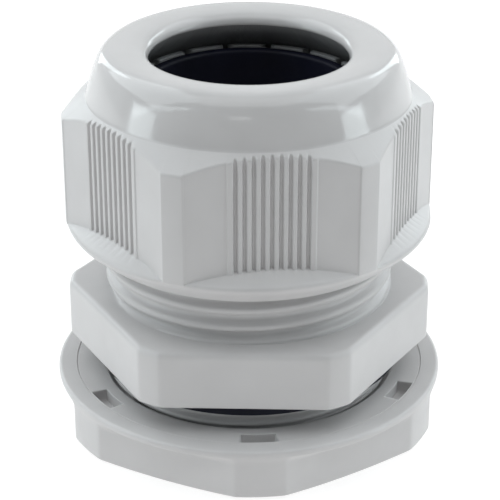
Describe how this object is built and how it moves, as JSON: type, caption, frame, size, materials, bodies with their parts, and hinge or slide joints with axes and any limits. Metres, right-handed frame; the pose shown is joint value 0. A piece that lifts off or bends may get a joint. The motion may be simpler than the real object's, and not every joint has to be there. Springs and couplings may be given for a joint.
{
  "type": "cable gland",
  "caption": "Nylon cable gland: locknut and sealing washer clamp a panel, and a dome nut closes a ring of fingers and a rubber seal on the cable.",
  "frame": {"origin": "on the gland's axis, in the plane of the locknut's lower face, which it stands on", "axes": "+Z along the axis, up through the dome nut, the way the cable leaves; +X is level, and the hexagons stand as they are screwed on"},
  "size_m": [0.0502, 0.0502, 0.0504],
  "materials": {
    "nylon": "light grey moulded polyamide, satin flats and a glossier dome",
    "rubber": "black moulded neoprene, matt"
  },
  "bodies": {
    "locknut": {"locknut": "nylon"},
    "washer": {"sealing_washer": "rubber"},
    "gland_body": {"gland_body": "nylon"},
    "seal": {"seal_insert": "rubber"},
    "dome_nut": {"dome_nut": "nylon"},
    "finger_01": {"clamp_finger_01": "nylon"},
    "finger_02": {"clamp_finger_02": "nylon"},
    "finger_03": {"clamp_finger_03": "nylon"},
    "finger_04": {"clamp_finger_04": "nylon"},
    "finger_05": {"clamp_finger_05": "nylon"},
    "finger_06": {"clamp_finger_06": "nylon"},
    "finger_07": {"clamp_finger_07": "nylon"},
    "finger_08": {"clamp_finger_08": "nylon"},
    "finger_09": {"clamp_finger_09": "nylon"},
    "finger_10": {"clamp_finger_10": "nylon"},
    "finger_11": {"clamp_finger_11": "nylon"},
    "finger_12": {"clamp_finger_12": "nylon"},
    "finger_13": {"clamp_finger_13": "nylon"},
    "finger_14": {"clamp_finger_14": "nylon"},
    "finger_15": {"clamp_finger_15": "nylon"},
    "finger_16": {"clamp_finger_16": "nylon"}
  },
  "joints": [
    {"name": "body_travel", "type": "slide", "parent": "locknut", "child": "washer", "axis": [0, 0, 1], "range_m": [-0.00176, 0.00635]},
    {"name": "body_turn", "type": "hinge", "parent": "washer", "child": "gland_body", "pos_m": [0, 0, 0.0104], "axis": [0, 0, 1], "range_deg": [-401, 1441]},
    {"name": "nut_travel", "type": "slide", "parent": "gland_body", "child": "seal", "axis": [0, 0, 1], "range_m": [-0.0023, 0], "deforming": ["seal_insert"]},
    {"name": "nut_turn", "type": "hinge", "parent": "seal", "child": "dome_nut", "pos_m": [0, 0, 0.03], "axis": [0, 0, 1], "range_deg": [-361, 1]},
    {"name": "finger_01_bend", "type": "hinge", "parent": "gland_body", "child": "finger_01", "pos_m": [0.0157, 0.00027, 0.0343], "axis": [0.0175, -0.9998, 0], "range_deg": [0, 10]},
    {"name": "finger_02_bend", "type": "hinge", "parent": "gland_body", "child": "finger_02", "pos_m": [0.0144, 0.00626, 0.0343], "axis": [0.3987, -0.9171, 0], "range_deg": [0, 10]},
    {"name": "finger_03_bend", "type": "hinge", "parent": "gland_body", "child": "finger_03", "pos_m": [0.01091, 0.01129, 0.0343], "axis": [0.7193, -0.6947, 0], "range_deg": [0, 10]},
    {"name": "finger_04_bend", "type": "hinge", "parent": "gland_body", "child": "finger_04", "pos_m": [0.00575, 0.01461, 0.0343], "axis": [0.9304, -0.3665, 0], "range_deg": [0, 10]},
    {"name": "finger_05_bend", "type": "hinge", "parent": "gland_body", "child": "finger_05", "pos_m": [-0.00027, 0.0157, 0.0343], "axis": [0.9998, 0.0175, 0], "range_deg": [0, 10]},
    {"name": "finger_06_bend", "type": "hinge", "parent": "gland_body", "child": "finger_06", "pos_m": [-0.00626, 0.0144, 0.0343], "axis": [0.9171, 0.3987, 0], "range_deg": [0, 10]},
    {"name": "finger_07_bend", "type": "hinge", "parent": "gland_body", "child": "finger_07", "pos_m": [-0.01129, 0.01091, 0.0343], "axis": [0.6947, 0.7193, 0], "range_deg": [0, 10]},
    {"name": "finger_08_bend", "type": "hinge", "parent": "gland_body", "child": "finger_08", "pos_m": [-0.01461, 0.00575, 0.0343], "axis": [0.3665, 0.9304, 0], "range_deg": [0, 10]},
    {"name": "finger_09_bend", "type": "hinge", "parent": "gland_body", "child": "finger_09", "pos_m": [-0.0157, -0.00027, 0.0343], "axis": [-0.0175, 0.9998, 0], "range_deg": [0, 10]},
    {"name": "finger_10_bend", "type": "hinge", "parent": "gland_body", "child": "finger_10", "pos_m": [-0.0144, -0.00626, 0.0343], "axis": [-0.3987, 0.9171, 0], "range_deg": [0, 10]},
    {"name": "finger_11_bend", "type": "hinge", "parent": "gland_body", "child": "finger_11", "pos_m": [-0.01091, -0.01129, 0.0343], "axis": [-0.7193, 0.6947, 0], "range_deg": [0, 10]},
    {"name": "finger_12_bend", "type": "hinge", "parent": "gland_body", "child": "finger_12", "pos_m": [-0.00575, -0.01461, 0.0343], "axis": [-0.9304, 0.3665, 0], "range_deg": [0, 10]},
    {"name": "finger_13_bend", "type": "hinge", "parent": "gland_body", "child": "finger_13", "pos_m": [0.00027, -0.0157, 0.0343], "axis": [-0.9998, -0.0175, 0], "range_deg": [0, 10]},
    {"name": "finger_14_bend", "type": "hinge", "parent": "gland_body", "child": "finger_14", "pos_m": [0.00626, -0.0144, 0.0343], "axis": [-0.9171, -0.3987, 0], "range_deg": [0, 10]},
    {"name": "finger_15_bend", "type": "hinge", "parent": "gland_body", "child": "finger_15", "pos_m": [0.01129, -0.01091, 0.0343], "axis": [-0.6947, -0.7193, 0], "range_deg": [0, 10]},
    {"name": "finger_16_bend", "type": "hinge", "parent": "gland_body", "child": "finger_16", "pos_m": [0.01461, -0.00575, 0.0343], "axis": [-0.3665, -0.9304, 0], "range_deg": [0, 10]}
  ],
  "couplings": [
    {"joint": "body_turn", "follows": "body_travel", "rad_per_m": 3957.9},
    {"joint": "nut_turn", "follows": "nut_travel", "rad_per_m": 2731.8},
    {"joint": "finger_01_bend", "follows": "nut_travel", "rad_per_m": -75.125},
    {"joint": "finger_02_bend", "follows": "nut_travel", "rad_per_m": -75.125},
    {"joint": "finger_03_bend", "follows": "nut_travel", "rad_per_m": -75.125},
    {"joint": "finger_04_bend", "follows": "nut_travel", "rad_per_m": -75.125},
    {"joint": "finger_05_bend", "follows": "nut_travel", "rad_per_m": -75.125},
    {"joint": "finger_06_bend", "follows": "nut_travel", "rad_per_m": -75.125},
    {"joint": "finger_07_bend", "follows": "nut_travel", "rad_per_m": -75.125},
    {"joint": "finger_08_bend", "follows": "nut_travel", "rad_per_m": -75.125},
    {"joint": "finger_09_bend", "follows": "nut_travel", "rad_per_m": -75.125},
    {"joint": "finger_10_bend", "follows": "nut_travel", "rad_per_m": -75.125},
    {"joint": "finger_11_bend", "follows": "nut_travel", "rad_per_m": -75.125},
    {"joint": "finger_12_bend", "follows": "nut_travel", "rad_per_m": -75.125},
    {"joint": "finger_13_bend", "follows": "nut_travel", "rad_per_m": -75.125},
    {"joint": "finger_14_bend", "follows": "nut_travel", "rad_per_m": -75.125},
    {"joint": "finger_15_bend", "follows": "nut_travel", "rad_per_m": -75.125},
    {"joint": "finger_16_bend", "follows": "nut_travel", "rad_per_m": -75.125}
  ]
}
